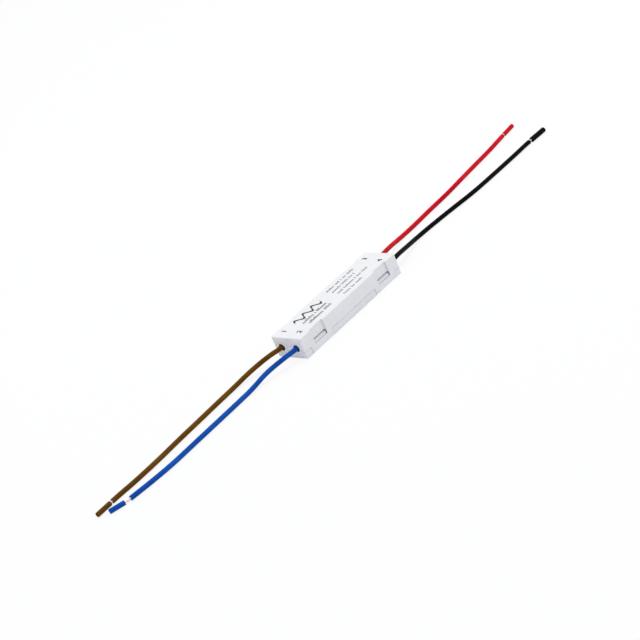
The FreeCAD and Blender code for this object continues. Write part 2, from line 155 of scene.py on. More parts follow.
def maths(operation, *values, kind="ShaderNodeMath"):
    """A node that works on values, at least one of which comes from another node."""
    tree = next(value.tree for value in values if isinstance(value, Value))
    return add(tree, kind, dict(enumerate(values)), operation=operation)[0]


def vector_maths(operation, *values):
    return maths(operation, *values, kind="ShaderNodeVectorMath")


# %% Name the nodes that come up again


def linear(red, green, blue):
    """A colour given as on a screen, 0 to 255, as the light values that nodes work with."""
    shares = [value / 255 for value in (red, green, blue)]
    light = [v / 12.92 if v < 0.04045 else ((v + 0.055) / 1.055) ** 2.4 for v in shares]
    return (*light, 1.0)


def fit(value, low, high, to_low=0.0, to_high=1.0):
    """The value carried from one range to another, and kept inside it."""
    sockets = dict(enumerate((value, low, high, to_low, to_high)))
    return add(value.tree, "ShaderNodeMapRange", sockets)[0]


def between(share, low, high):
    return fit(share, 0.0, 1.0, low, high)


def near(value, middle, reach):
    """One where the value is within reach of the middle, and zero elsewhere."""
    return maths("COMPARE", value, middle, reach)


def largest(first, *others):
    for other in others:
        first = maths("MAXIMUM", first, other)
    return first


def split(vector):
    """The three parts of a place or a direction."""
    return add(vector.tree, "ShaderNodeSeparateXYZ", {0: vector})


def facing(tree):
    """The three parts of the direction that the surface faces."""
    return split(add(tree, "ShaderNodeNewGeometry")["Normal"])


def scaled(place, scale, turn=(0.0, 0.0, 0.0)):
    sockets = {"Vector": place, "Scale": scale, "Rotation": turn}
    return add(place.tree, "ShaderNodeMapping", sockets)[0]


def noise(place, scale, detail=2.0, roughness=0.5):
    sockets = {"Vector": place, "Scale": scale, "Detail": detail, "Roughness": roughness}
    return add(place.tree, "ShaderNodeTexNoise", sockets)[0]


def blend(share, first, second):
    """Two colours mixed. Each is another node's output, or red, green and blue on a screen."""
    first, second = (value if isinstance(value, Value) else linear(*value) for value in (first, second))
    return add(share.tree, "ShaderNodeMix", {0: share, 6: first, 7: second}, data_type="RGBA")[2]


def blend_values(share, first, second):
    return add(share.tree, "ShaderNodeMix", {0: share, 2: first, 3: second})[0]


# %% [markdown]
# ## Studio
#
# The photograph has a pure white ground. A lamp that burns out the floor would burn out
# the white plastic too, so the light stays at a plain level. The Light Path node makes
# the ground white only for the camera, for reflections and for glass, and the floor keeps
# some of its real shading, for the object's soft shadow.

# %% Set the air of the studio
scene.view_settings.view_transform = "Standard"
white = (1.0, 1.0, 1.0, 1.0)
soft_daylight = (0.92, 0.948, 1.0, 1.0)
air_strength = 0.73


def seen_share(tree):
    """One for rays that come from the camera, a reflection or glass, and zero for others."""
    path = add(tree, "ShaderNodeLightPath")
    return largest(*(path[f"Is {ray} Ray"] for ray in ("Camera", "Glossy", "Transmission")))


world = bpy.data.worlds.new("studio_air")
world.use_nodes = True
scene.world = world
air = world.node_tree
air.nodes.clear()
daylight = add(air, "ShaderNodeBackground", {"Color": soft_daylight, "Strength": air_strength})
ground_white = add(air, "ShaderNodeBackground", {"Color": white, "Strength": 1.0})
air_shares = {0: seen_share(air), 1: daylight[0], 2: ground_white[0]}
air_mix = add(air, "ShaderNodeMixShader", air_shares)
add(air, "ShaderNodeOutputWorld", {"Surface": air_mix[0]})
print("air strength", air_strength)

# %% Lay the floor
floor_half = 3.0
floor_drop = 0.00002
floor_white_share = 0.85
floor_shade = linear(250, 250, 250)

floor_mesh = bpy.data.meshes.new("studio_floor")
corner_ways = ((-1, -1), (1, -1), (1, 1), (-1, 1))
floor_corners = [(x * floor_half, y * floor_half, -floor_drop) for x, y in corner_ways]
floor_mesh.from_pydata(floor_corners, [], [(0, 1, 2, 3)])
floor = new_object("studio_floor", floor_mesh)

floor_paint = bpy.data.materials.new("studio_floor")
floor_paint.use_nodes = True
tree = floor_paint.node_tree
tree.nodes.clear()
matt = add(tree, "ShaderNodeBsdfDiffuse", {"Color": floor_shade})
glow = add(tree, "ShaderNodeEmission", {"Color": white, "Strength": 1.0})
floor_shares = {0: seen_share(tree) * floor_white_share, 1: matt[0], 2: glow[0]}
floor_mix = add(tree, "ShaderNodeMixShader", floor_shares)
add(tree, "ShaderNodeOutputMaterial", {"Surface": floor_mix[0]})
floor_mesh.materials.append(floor_paint)
print("floor laid", floor_drop, "m under the box")

# %% [markdown]
# ## Lamp
#
# One large soft lamp hangs high on the right and a little behind. It makes the roof the
# brightest face, the long front wall a step darker and the near end the darkest, as they
# are in the photograph.

# %% Hang the lamp
lamp_place = Vector((0.33, 0.10, 1.14))
lamp_data = bpy.data.lights.new("high_soft_lamp", "AREA")
lamp_data.shape = "DISK"
lamp_data.size = 0.70
lamp_data.energy = 5.4
lamp_data.color = (1.0, 0.99, 0.935)
lamp = new_object("high_soft_lamp", lamp_data)
lamp.location = lamp_place
lamp.rotation_euler = (-lamp_place).to_track_quat("-Z", "Y").to_euler()
print("lamp:", lamp_data.size, "m across")

# %% [markdown]
# ## The lines that the wires follow
#
# Each wire leaves its mouth straight, sinks to the table in a long bend and then lies on
# it with small bends left from handling. A NURBS spline of order 3 glides past its
# control points, inside each corner, and stays above the table because they do. Blender
# turns it into points, and everything on the wire follows those.

# %% Read a smooth line from a NURBS spline
line_steps = 24


def mesh_of(data):
    """The mesh that Blender makes of a curve or a text, which is then removed."""
    holder = bpy.data.objects.new(data.name, data)
    mesh = bpy.data.meshes.new_from_object(holder)
    bpy.data.objects.remove(holder)
    bpy.data.curves.remove(data)
    return mesh


def smooth_points(route):
    """Points along the NURBS spline that has the route's points as its control points."""
    curve = bpy.data.curves.new("wire_line", "CURVE")
    curve.dimensions = "3D"
    curve.resolution_u = line_steps
    spline = curve.splines.new("NURBS")
    spline.points.add(len(route) - 1)
    for knot, place in zip(spline.points, route):
        knot.co = (*place, 1.0)
    spline.order_u = 3
    spline.use_endpoint_u = True
    mesh = mesh_of(curve)
    points = [tuple(vertex.co) for vertex in mesh.vertices]
    bpy.data.meshes.remove(mesh)
    return points


class Line:
    """A line with two cross directions at each point, carried along it without a twist."""

    def __init__(self, points):
        self.points = np.array(points, float)
        steps = np.linalg.norm(np.diff(self.points, axis=0), axis=1)
        self.distance = np.concatenate([[0.0], np.cumsum(steps)])
        self.length = self.distance[-1]
        ahead = np.gradient(self.points, axis=0)
        ahead /= np.linalg.norm(ahead, axis=1)[:, None]
        side = np.cross(ahead[0], (0.0, 0.0, 1.0))
        sides = []
        for direction in ahead:
            side = side - direction * side.dot(direction)
            side = side / np.linalg.norm(side)
            sides.append(side)
        self.side = np.array(sides)
        self.up = np.cross(ahead, self.side)

    def at(self, distances):
        """The points and the two cross directions at these distances from the start."""
        found = []
        for values in (self.points, self.side, self.up):
            parts = [np.interp(distances, self.distance, values[:, k]) for k in range(3)]
            found.append(np.stack(parts, axis=-1))
        return found


# %% Write down the four wires
insulation_diameter = 0.00192
core_diameter = 0.00095
core_gap = 0.00004
pad_end_x = 0.0234
mouth_x = 0.0304
inside_x = 0.0268
straight_out = 0.0008
exit_y = 0.00388
exit_z = 0.0043
lying = insulation_diameter / 2
black_slug_diameter = 0.0023
black_lying = black_slug_diameter / 2


def leaving(end, side):
    """The first two points of a wire: inside the box, and just outside its mouth."""
    return [(end * x, side * exit_y, exit_z) for x in (inside_x, mouth_x + straight_out)]


def on_table(height, *places):
    """Points of a wire that lies on the table, with its middle at this height."""
    return [(x, y, height) for x, y in places]


brown_route = leaving(-1, 1) + [(-0.0360, 0.0058, 0.0042), (-0.0445, 0.0093, 0.0026)]
brown_route += on_table(
    lying, (-0.0532, 0.01125), (-0.0630, 0.0110), (-0.0740, 0.0105), (-0.0860, 0.0101),
    (-0.0985, 0.0093), (-0.1120, 0.00915), (-0.1191, 0.00964), (-0.1231, 0.0096)
)
blue_route = leaving(-1, -1) + [(-0.0362, -0.00285, 0.0042), (-0.0448, 0.00065, 0.0027)]
blue_route += on_table(
    lying, (-0.0530, 0.0015), (-0.0630, 0.0013), (-0.0745, 0.0011), (-0.0870, 0.00095),
    (-0.0990, 0.00065), (-0.1100, 0.0015), (-0.1160, 0.00229), (-0.1200, 0.00275)
)
red_route = leaving(1, 1) + [(0.0364, 0.0050, 0.0042), (0.0448, 0.0079, 0.0028)]
red_route += on_table(
    lying, (0.0534, 0.0104), (0.0640, 0.01045), (0.0760, 0.0112), (0.0885, 0.0114), (0.1010, 0.0126),
    (0.1140, 0.0137), (0.1265, 0.0146), (0.1347, 0.01576), (0.1387, 0.0162)
)
black_route = leaving(1, -1) + [(0.0364, -0.0029, 0.0042), (0.0450, -0.0008, 0.0027)]
black_route += on_table(
    lying, (0.0545, 0.0019), (0.0650, 0.0012), (0.0770, 0.0), (0.0900, -0.0017),
    (0.1025, -0.0021), (0.1135, -0.00225)
)
black_route += on_table(black_lying, (0.1235, -0.00265), (0.1286, -0.00242), (0.1326, -0.00263))
routes = (brown_route, blue_route, red_route, black_route)
print("points on the routes:", [len(route) for route in routes])

# %% [markdown]
# ## Skins swept along a line
#
# A bevelled curve gives a plain tube, without rounded cut faces, a bore or strands. So a
# skin is built ring by ring. Its outline is a list of pairs: how far along the line a
# ring lies, and its radius. Pairs out along the surface, in over the cut face and back
# through the bore give a closed skin, as on a real tube.
#
# Each point also remembers where it would be on a straight wire. The finishes read that,
# so the marks of the extruder follow the wire round every bend.

# %% Build rings round a line
straight_place = "straight_place"


class Skins:
    """Points and faces of one mesh, gathered from several swept skins."""

    def __init__(self):
        self.points = []
        self.places = []
        self.faces = []

    def sweep(self, line, outline, around, closed):
        """Adds rings round the line. A closed outline joins its last ring to its first."""
        first = len(self.points)
        distances, radii = np.array(outline, float).T
        turn = np.arange(around) * 2 * math.pi / around
        across = radii[:, None] * np.cos(turn)
        upward = radii[:, None] * np.sin(turn)
        centre, side, up = line.at(distances)
        rings = centre[:, None] + across[..., None] * side[:, None] + upward[..., None] * up[:, None]
        along = np.broadcast_to(distances[:, None], across.shape)
        self.points += rings.reshape(-1, 3).tolist()
        self.places += np.stack([across, upward, along], axis=-1).reshape(-1, 3).tolist()
        count = len(outline)
        for ring in range(count if closed else count - 1):
            here = first + ring * around
            there = first + (ring + 1) % count * around
            for k in range(around):
                on = (k + 1) % around
                self.faces.append((here + k, here + on, there + on, there + k))
        if not closed:
            last = first + (count - 1) * around
            self.faces.append(tuple(range(first, first + around))[::-1])
            self.faces.append(tuple(range(last, last + around)))

    def piece(self, name):
        mesh = bpy.data.meshes.new(name)
        mesh.from_pydata(self.points, [], self.faces)
        memory = mesh.attributes.new(straight_place, "FLOAT_VECTOR", "POINT")
        memory.data.foreach_set("vector", np.array(self.places, np.float32).ravel())
        mesh.shade_smooth()
        return new_object(name, mesh)


# %% [markdown]
# ## Insulation
#
# PVC insulation comes off the extruder as a smooth round skin. Where the stripping blade
# cut it, the edge is a little rounded, and the bore shows round the core. The rings lie
# closer together at the cut ends, where the shape changes fast.

# %% Sweep the insulation
skin_segments = 28
ring_spacing = 0.0006
cut_round = 0.00012
cut_round_steps = 4
bore = core_diameter / 2 + core_gap


def cut_edge(end, radius, way):
    """Pairs round one cut edge, from the outer surface in to the cut face."""
    angles = [step / cut_round_steps * math.pi / 2 for step in range(cut_round_steps + 1)]
    return [
        (end - way * cut_round * (1 - math.sin(angle)), radius - cut_round * (1 - math.cos(angle)))
        for angle in angles
    ]


def hollow_outline(length, radius):
    """A closed outline: out along the surface, over the cut face and back through the bore."""
    count = max(2, round(length / ring_spacing))
    middle = np.linspace(2 * cut_round, length - 2 * cut_round, count)
    outline = cut_edge(0.0, radius, -1)[::-1]
    outline += [(distance, radius) for distance in middle]
    outline += cut_edge(length, radius, 1)
    outline += [(length, bore + cut_round / 2), (length - cut_round / 2, bore)]
    outline += [(distance, bore) for distance in middle[::-2]]
    outline += [(cut_round / 2, bore), (0.0, bore + cut_round / 2)]
    return outline


def hollow_skin(name, line, radius):
    skins = Skins()
    skins.sweep(line, hollow_outline(line.length, radius), skin_segments, closed=True)
    return skins.piece(name)


# %% [markdown]
# ## Core of twisted strands
#
# The core is seven fine tinned strands: one in the middle and six wound round it. They
# show in the bare gap near each tip. A screw texture would leave the edge of a plain rod
# straight, so each strand is its own thin tube, on a helix round the wire's line.

# %% Wind the strands
strand_radius = core_diameter / 6
strand_segments = 10
strand_step = 0.0005
strand_count = 6
lay_length = 0.0085
full_turn = 2 * math.pi


def strand_line(line, circle, start_angle):
    """A strand's own line: a helix round the core's line, or the line itself."""
    distances = np.linspace(0.0, line.length, round(line.length / strand_step) + 1)
    centre, side, up = line.at(distances)
    angle = start_angle + distances / lay_length * full_turn
    across = circle * np.cos(angle)[:, None] * side
    upward = circle * np.sin(angle)[:, None] * up
    return Line(centre + across + upward)


def strand_outline(line):
    """A thin solid rod with a slightly rounded end, as pairs of distance and radius."""
    end_radius, end_round = strand_radius * 0.7, strand_radius * 0.4
    outline = [(0.0, end_radius), (end_round, strand_radius)]
    outline += [(distance, strand_radius) for distance in line.distance[1:-1]]
    outline += [(line.length - end_round, strand_radius), (line.length, end_radius)]
    return outline


def twisted_core(name, line):
    skins = Skins()
    circles = [0.0] + [2 * strand_radius] * strand_count
    for index, circle in enumerate(circles):
        own_line = strand_line(line, circle, index * full_turn / strand_count)
        skins.sweep(own_line, strand_outline(own_line), strand_segments, closed=False)
    return skins.piece(name)


# %% [markdown]
# ## One whole wire
#
# The factory cuts the insulation a few millimetres from the tip and pushes the loose end,
# the slug, outwards. That opens the bare gap, and leaves a short empty bore at the tip.
# The slug is its own piece on its own body, because a hand pulls it off.

# %% Make the four wires
slug_points = 8


def make_wire(colour, route, bare, slug_length, slug_diameter, bend, length):
    """Insulation, core and slug of one wire."""
    end = Vector(route[-1])
    onward = (end - Vector(route[-2])).normalized()
    corner = end + onward * bare / 2
    direction = Quaternion((0, 0, 1), math.radians(bend)) @ onward
    slug_start = corner + direction * bare / 2
    tip = slug_start + direction * slug_length

    skin_points = smooth_points(route)
    skin_line = Line(skin_points)
    insulation = hollow_skin(colour + "_wire", skin_line, lying)

    bare_points = smooth_points([end, corner, slug_start, tip - direction * bare])
    pad_end = (math.copysign(pad_end_x, end.x), route[0][1], exit_z)
    core_line = Line([pad_end] + skin_points + bare_points[1:])
    core = twisted_core(colour + "_strands", core_line)

    slug_line = Line([slug_start.lerp(tip, share) for share in np.linspace(0.0, 1.0, slug_points)])
    slug = hollow_skin(colour + "_slug", slug_line, slug_diameter / 2)

    for piece, body, node, slot in (
        (insulation, "module", colour + "_insulation", colour + "_pvc"),
        (core, "module", colour + "_conductor", "tinned_copper"),
        (slug, colour + "_slug", colour + "_end_slug", colour + "_pvc"),
    ):
        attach(piece, body)
        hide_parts(node)
    print(colour, "wire:", round(skin_line.length, 4), "m, core:", round(core_line.length, 4), "m")
    return insulation, core, slug


# Route, bare gap, slug length and diameter, bend of the gap in degrees, and cord length
wire_facts = {
    "brown": (brown_route, 0.0010, 0.0069, insulation_diameter, 0.0, 0.098),
    "blue": (blue_route, 0.00255, 0.0063, insulation_diameter, -15.0, 0.0945),
    "red": (red_route, 0.0015, 0.0077, insulation_diameter, 0.0, 0.1135),
    "black": (black_route, 0.0016, 0.0091, black_slug_diameter, 0.0, 0.1075),
}
wires = {colour: make_wire(colour, *facts) for colour, facts in wire_facts.items()}

# %% [markdown]
# ## Soft edges on the moulded shells
#
# No moulded edge is sharp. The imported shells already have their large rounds, and their
# windows, notches and seams get a tiny bevel from modifiers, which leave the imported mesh
# as it is. Weld comes first, because a bevel needs faces that share their edges, and
# Weighted Normal comes last, so that the flat faces stay flat.

# %% Soften the shells
edge_softness = 0.00009
joined_within = 0.000002
sharp_from = math.radians(40)

for shell in ("top_cover", "base"):
    modifiers = nodes[shell].modifiers
    weld = modifiers.new("join_faces", "WELD")
    weld.merge_threshold = joined_within
    bevel = modifiers.new("soft_edges", "BEVEL")
    bevel.width = edge_softness
    bevel.segments = 2
    bevel.limit_method = "ANGLE"
    bevel.angle_limit = sharp_from
    bevel.use_clamp_overlap = True
    flat = modifiers.new("flat_faces", "WEIGHTED_NORMAL")
    flat.keep_sharp = False
    print("edges softened:", shell)

# %% [markdown]
# ## Print on the roof
#
# Terminals are numbered, and the roof carries a heavy mark and some small lines. All of
# it is plain here: numbers one to four, a wave as on any meter for alternating current,
# and rows of short blocks where small print would be. Pad printing lays ink about a
# hundredth of a millimetre thick, so each figure is a very thin slab on the roof.

# %% Cut the ink into slabs
ink_thickness = 0.00001
roof_z = cover_high.z
block_corner = 0.0001
ink_mesh = bmesh.new()


def ink_slab(outline):
    """A thin slab with this outline, half sunk into the roof."""
    low = [ink_mesh.verts.new((x, y, roof_z - ink_thickness)) for x, y in outline]
    high = [ink_mesh.verts.new((x, y, roof_z + ink_thickness)) for x, y in outline]
    ink_mesh.faces.new(high)
    ink_mesh.faces.new(low[::-1])
    for k in range(len(outline)):
        ink_mesh.faces.new((low[k - 1], low[k], high[k], high[k - 1]))


def ink_block(x, y, width, height):
    """A block with round corners, whose lower left corner is at x and y."""
    outline = []
    for quarter in range(4):
        middle_x = x + (width - block_corner if quarter in (0, 3) else block_corner)
        middle_y = y + (height - block_corner if quarter < 2 else block_corner)
        for step in range(4):
            angle = (quarter + step / 3) * math.pi / 2
            arc_x, arc_y = block_corner * math.cos(angle), block_corner * math.sin(angle)
            outline.append((middle_x + arc_x, middle_y + arc_y))
    ink_slab(outline)


# %% Draw the heavy wave
wave_start = -0.0208
wave_end = -0.0050
wave_middle = 0.0029
wave_height = 0.0015
wave_periods = 3
wave_steps = 72
half_nib = Vector((0.0001, 0.00068))


def ink_ribbon(lower, upper):
    """A thin slab between two edges that run side by side, as strips of four-sided faces."""
    rows = []
    for edge, height in ((lower, -1), (lower, 1), (upper, 1), (upper, -1)):
        row_z = roof_z + height * ink_thickness
        rows.append([ink_mesh.verts.new((x, y, row_z)) for x, y in edge])
    for step in range(len(lower) - 1):
        for k in range(4):
            here, there = rows[k - 1], rows[k]
            ink_mesh.faces.new((here[step], here[step + 1], there[step + 1], there[step]))
    ink_mesh.faces.new([row[0] for row in rows])
    ink_mesh.faces.new([row[-1] for row in rows[::-1]])


def wave_edge(way):
    """One edge of the wave, as a broad nib held upright draws it: thin on the climbs."""
    edge = []
    for step in range(wave_steps + 1):
        share = step / wave_steps
        x = wave_start + share * (wave_end - wave_start)
        y = wave_middle + wave_height * math.sin(share * wave_periods * full_turn)
        edge.append((x + way * half_nib.x, y + way * half_nib.y))
    return edge


ink_ribbon(wave_edge(-1), wave_edge(1))
print("wave of", wave_steps, "steps")

# %% Set the rows of blocks
block_width = 0.00036
block_gap = 0.00032
word_gap = 0.00075
low_block = 0.00095
tall_block = 0.0014
tall_share = 0.35
bold_growth = 1.25
row_starts = {
    (-0.0203, -0.0016, bold_growth): (9, 1, 8),
    (-0.0197, -0.0044, bold_growth): (12, 6),
    (0.0010, 0.0039, 1.0): (7, 4, 1, 3, 6),
    (0.0010, 0.0009, 1.0): (8, 6, 3, 1),
    (0.0008, -0.0022, 1.0): (5, 9, 1, 4, 5),
    (0.0011, -0.0054, 1.0): (6, 3, 6),
}

shuffle = np.random.default_rng(7)
for (x, y, growth), words in row_starts.items():
    width = block_width * growth**0.5
    for word in words:
        for _ in range(word):
            height = tall_block if shuffle.random() < tall_share else low_block
            ink_block(x, y, width, height * growth)
            x += width + block_gap
        x += word_gap
    print("row of", sum(words), "blocks up to", round(x - word_gap, 4))

# %% Number the four wires
digit_height = 0.0025
digit_boldness = 0.03
digit_places = {
    "1": (-0.0262, 0.0042),
    "2": (-0.0257, -0.0036),
    "3": (0.0255, 0.0041),
    "4": (0.0250, -0.0042),
}


def ink_digit(digit, x, y):
    """A digit of Blender's own typeface, scaled to its height and centred on x and y."""
    text = bpy.data.curves.new("digit", "FONT")
    text.body = digit
    text.extrude = 1.0
    text.offset = digit_boldness
    mesh = mesh_of(text)
    places = np.array([tuple(vertex.co) for vertex in mesh.vertices])
    low, high = places.min(axis=0), places.max(axis=0)
    size = digit_height / (high[1] - low[1])
    for vertex in mesh.vertices:
        vertex.co.x = x + (vertex.co.x - (low[0] + high[0]) / 2) * size
        vertex.co.y = y + (vertex.co.y - (low[1] + high[1]) / 2) * size
        vertex.co.z = roof_z + vertex.co.z * ink_thickness
    ink_mesh.from_mesh(mesh)
    bpy.data.meshes.remove(mesh)


for digit, place in digit_places.items():
    ink_digit(digit, *place)

bmesh.ops.remove_doubles(ink_mesh, verts=ink_mesh.verts, dist=1e-8)
bmesh.ops.recalc_face_normals(ink_mesh, faces=ink_mesh.faces)
print_mesh = bpy.data.meshes.new("roof_print")
ink_mesh.to_mesh(print_mesh)
ink_mesh.free()
roof_print = new_object("roof_print", print_mesh)
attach(roof_print, "module")
print("print:", len(print_mesh.polygons), "faces of ink")

# %% [markdown]
# ## Shared effects as node groups
#
# Some effects return on many pieces: the fine grain of a mould, the marks of handling,
# the streaks of an extruder and the drawing lines on metal. Each is built once as a node
# group with named sockets, and every finish places it with its own values. A group gives
# only masks and heights; the shader that uses them stays in the finish itself.

# %% Define how a group is built and used


def titled(sockets):
    """Sockets by their titles, which have spaces where Python's names have underscores."""
    return {name.replace("_", " "): value for name, value in sockets.items()}


def new_group(name, **starts):
    """What a new group is given: a place, and then numbers or vectors with these titles."""
    group = bpy.data.node_groups.new(name, "ShaderNodeTree")
    starts = titled({"Place": (0.0, 0.0, 0.0), **starts})
    for title, start in starts.items():
        kind = "NodeSocketVector" if isinstance(start, tuple) else "NodeSocketFloat"
        socket = group.interface.new_socket(title, in_out="INPUT", socket_type=kind)
        socket.default_value = start
    given = add(group, "NodeGroupInput")
    return [given[title] for title in starts]


def give_out(group, **results):
    """The finished group, with these values as its outputs."""
    for title in results:
        group.interface.new_socket(title, in_out="OUTPUT", socket_type="NodeSocketFloat")
    add(group, "NodeGroupOutput", results)
    print("group", group.name, "has", len(group.nodes), "nodes")
    return group


def use(group, place, **sockets):
    """A group at work in the tree that the place comes from."""
    return add(place.tree, "ShaderNodeGroup", {"Place": place, **titled(sockets)}, node_tree=group)


# %% Group for the grain of a mould
place, grain_size, flow_size = new_group("moulded_grain", Grain_Size=0.0002, Flow_Size=0.012)
fine_grain = noise(place, 1.0 / grain_size, detail=3.0, roughness=0.6)
flow = noise(scaled(place, (0.4, 1.0, 1.0)), 1.0 / flow_size)
moulded_grain = give_out(place.tree, Grain=fit(fine_grain, 0.3, 0.7), Flow=fit(flow, 0.3, 0.7))

# %% Group for the marks of handling
place, smudge_size = new_group("handling_marks", Smudge_Size=0.007)
smudge = noise(place, 1.0 / smudge_size, detail=5.0, roughness=0.62)
scratches = []
for angle, stretch in ((0.45, (35.0, 2600.0, 35.0)), (-0.9, (50.0, 3400.0, 50.0))):
    lines = noise(scaled(place, stretch, turn=(0.0, 0.0, angle)), 1.0, detail=0.0)
    scratches.append(fit(lines, 0.80, 0.86))
specks = add(place.tree, "ShaderNodeTexVoronoi", {"Vector": place, "Scale": 420.0})
speck_choice = noise(specks["Position"], 5000.0, detail=0.0)
near_speck = fit(specks["Distance"], 0.035, 0.055, 1.0, 0.0)
handling_marks = give_out(
    place.tree,
    Smudge=fit(smudge, 0.5, 0.72),
    Scratch=largest(*scratches),
    Dust=near_speck * fit(speck_choice, 0.56, 0.60),
)

# %% Group for an extruded skin
place, lay, strands = new_group("extruded_skin", Lay_Length=lay_length, Strands=float(strand_count))
streaks = noise(scaled(place, (5200.0, 5200.0, 90.0)), 1.0, detail=3.0)
mottle = noise(scaled(place, (300.0, 300.0, 110.0)), 1.0, detail=4.0)
across, upward, along = split(place)
winding = maths("ARCTAN2", upward, across) * strands - along / lay * (full_turn * strand_count)
extruded_skin = give_out(
    place.tree,
    Streaks=fit(streaks, 0.3, 0.7),
    Ripple=fit(maths("SINE", winding), -1.0, 1.0),
    Mottle=fit(mottle, 0.35, 0.65),
)

# %% Group for drawn and tinned metal
place, line_scale = new_group("tinned_metal", Line_Scale=(9000.0, 9000.0, 500.0))
metal_lines = noise(vector_maths("MULTIPLY", place, line_scale), 1.0)
tarnish = noise(place, 1400.0, detail=4.0, roughness=0.6)
tinned_metal = give_out(place.tree, Lines=fit(metal_lines, 0.3, 0.7), Tarnish=fit(tarnish, 0.4, 0.7))

# %% [markdown]
# ## A mask for what lies outside a box
#
# Some finishes change where a surface leaves a known box: legs stick out of a body, and
# the outer skin of a shell lies outside a box that is a little smaller. The group takes
# the distance past each side of the box, keeps the largest, and turns it into a mask.

# %% Group for what lies outside a box
zeros = (0.0, 0.0, 0.0)
place, low, high, edge = new_group("outside_box", Low=zeros, High=zeros, Edge=0.00002)
under_low = vector_maths("SUBTRACT", low, place)
over_high = vector_maths("SUBTRACT", place, high)
most_out = largest(*split(vector_maths("MAXIMUM", under_low, over_high)))
outside_box = give_out(place.tree, Outside=fit(most_out, 0.0, edge))

# %% [markdown]
# ## Starting a finish
#
# Each finish is one Principled shader. What is the same all over the surface, such as the
# share of light that sinks in, is a plain number on the shader's own socket. What varies
# is driven by nodes: the colour, the roughness, and a height that a Bump node turns into
# small changes of the surface's direction.

# %% Define how a finish starts and ends


def own_place(tree):
    """Where a point is on the object itself, in metres, whatever pose it is in."""
    return add(tree, "ShaderNodeTexCoord")["Object"]


def wire_place(tree):
    """Where a point would be on a straight wire."""
    return add(tree, "ShaderNodeAttribute", attribute_name=straight_place)["Vector"]


def new_finish(name, find_place=own_place, **sockets):
    """A material, its Principled shader, and the place on the piece that its nodes read."""
    finish = bpy.data.materials.new(name)
    finish.use_nodes = True
    tree = finish.node_tree
    tree.nodes.clear()
    shader = add(tree, "ShaderNodeBsdfPrincipled", titled(sockets))
    add(tree, "ShaderNodeOutputMaterial", {"Surface": shader[0]})
    return finish, shader, find_place(tree)


def drive(shader, colour, roughness, height, depth, metallic=None):
    """Links what varies over the surface to the shader."""
    bump = add(shader.tree, "ShaderNodeBump", {"Height": height, "Distance": depth})
    varying = {"Base Color": colour, "Roughness": roughness, "Normal": bump[0]}
    if metallic:
        varying["Metallic"] = metallic
    for title, value in varying.items():
        shader.tree.links.new(value.socket, shader.node.inputs[title])


def dressed(piece, finish):
    """Gives a piece its finish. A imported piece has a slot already, and a new one gets it."""
    if not piece.material_slots:
        piece.data.materials.append(finish)
    for slot in piece.material_slots:
        slot.material = finish
    print("finish of", piece.name + ":", finish.name)


# %% [markdown]
# ## White moulded plastic
#
# Both shells are white self-extinguishing plastic with a fine satin texture from a
# sparked mould. It is never one flat white: the melt leaves faint clouds, fingers leave
# smudges that shine a little more, and dust settles in it. All three stay faint, because
# a strong pattern at this size would look like stone.
#
# The gaps between the shells, the slits over the snap noses and the wires' mouths look
# nearly black on the real box, but in a render light bounces far longer between white
# walls. So the faces in those gaps get painted shade: they lie a little under the outer
# skin and face along the box or downwards. The steps at the recesses' ends get a light
# share of that painted shade, and the round walls of the mouths a deep one.

# %% Shade the gaps
skin_depth = Vector((0.00026, 0.00026, 0.00015))
gap_top = 0.0042
gap_shade = 0.6
recess_reach = 0.028
recess_shade = 0.11
mouth_reach = 0.00156
mouth_depth = 0.0016
mouth_rim = 0.00008
mouth_shade = 0.92
facing_from = 0.6


def mouth_walls(x, y, height):
    """One on the round walls of the four mouths, which lie close about the wires' axes."""
    sideways = y - exit_y
    upward = height - exit_z
    round_wire = sideways * sideways + upward * upward < mouth_reach**2
    return round_wire * near(x, mouth_x - mouth_depth / 2, mouth_depth / 2 - mouth_rim)


def gap_faces(place):
    """How much painted shade the faces in the seams, windows and mouths, and the recesses' ends, get.
    """
    skin = use(outside_box, place, Low=cover_low + skin_depth, High=cover_high - skin_depth)
    along, _, up = facing(place.tree)
    endways = abs(along) > facing_from
    downward = up < -facing_from
    x, y, height = split(place)
    x, y = abs(x), abs(y)
    low_down = height < gap_top
    gap = largest(endways, downward) * (1.0 - skin["Outside"]) * (low_down * gap_shade)
    recess_end = endways * (x < recess_reach) * ((1.0 - low_down) * recess_shade)
    mouth = mouth_walls(x, y, height) * mouth_shade
    return largest(gap, recess_end, mouth)


# %% Mix the white plastics
smudge_white = (229, 228, 226)
dust_grey = (150, 147, 140)
# Painted shade: the dark grey that the faces in the gaps, recess steps and mouths are mixed towards.
painted_shade_grey = (60, 60, 66)
smudge_share = 0.35
smudge_shine = 0.07
dust_share = 0.55
scratch_share = 0.5


def white_plastic(node, name, clean, cloudy, roughness):
    plastic = {"IOR": 1.52, "Subsurface_Weight": 0.06, "Subsurface_Scale": 0.0006}
    finish, shader, place = new_finish(name, **plastic)
    grain = use(moulded_grain, place, Grain_Size=0.00022, Flow_Size=0.011)
    marks = use(handling_marks, place, Smudge_Size=0.0065)
    colour = blend(grain["Flow"], clean, cloudy)
    colour = blend(marks["Smudge"] * smudge_share, colour, smudge_white)
    colour = blend(marks["Dust"] * dust_share, colour, dust_grey)
    # Painted shade on the faces in the gaps, on the recess steps and in the mouths.
    colour = blend(gap_faces(place), colour, painted_shade_grey)
    rough = between(grain["Grain"], roughness - 0.04, roughness + 0.06)
    rough = rough - marks["Smudge"] * smudge_shine
    height = grain["Grain"] - marks["Scratch"] * scratch_share
    drive(shader, colour, rough, height, depth=0.000010)
    dressed(nodes[node], finish)


white_plastic("top_cover", "cover_white", (240, 239, 241), (236, 236, 239), 0.42)
white_plastic("base", "base_white", (238, 238, 241), (234, 235, 239), 0.45)

# %% [markdown]
# ## Pad-printed ink
#
# The ink is nearly black and drier than the plastic round it. A silicone pad never lays
# it quite evenly, so a few pinholes let the white through, and the ink is a little
# greyer where it is thin.

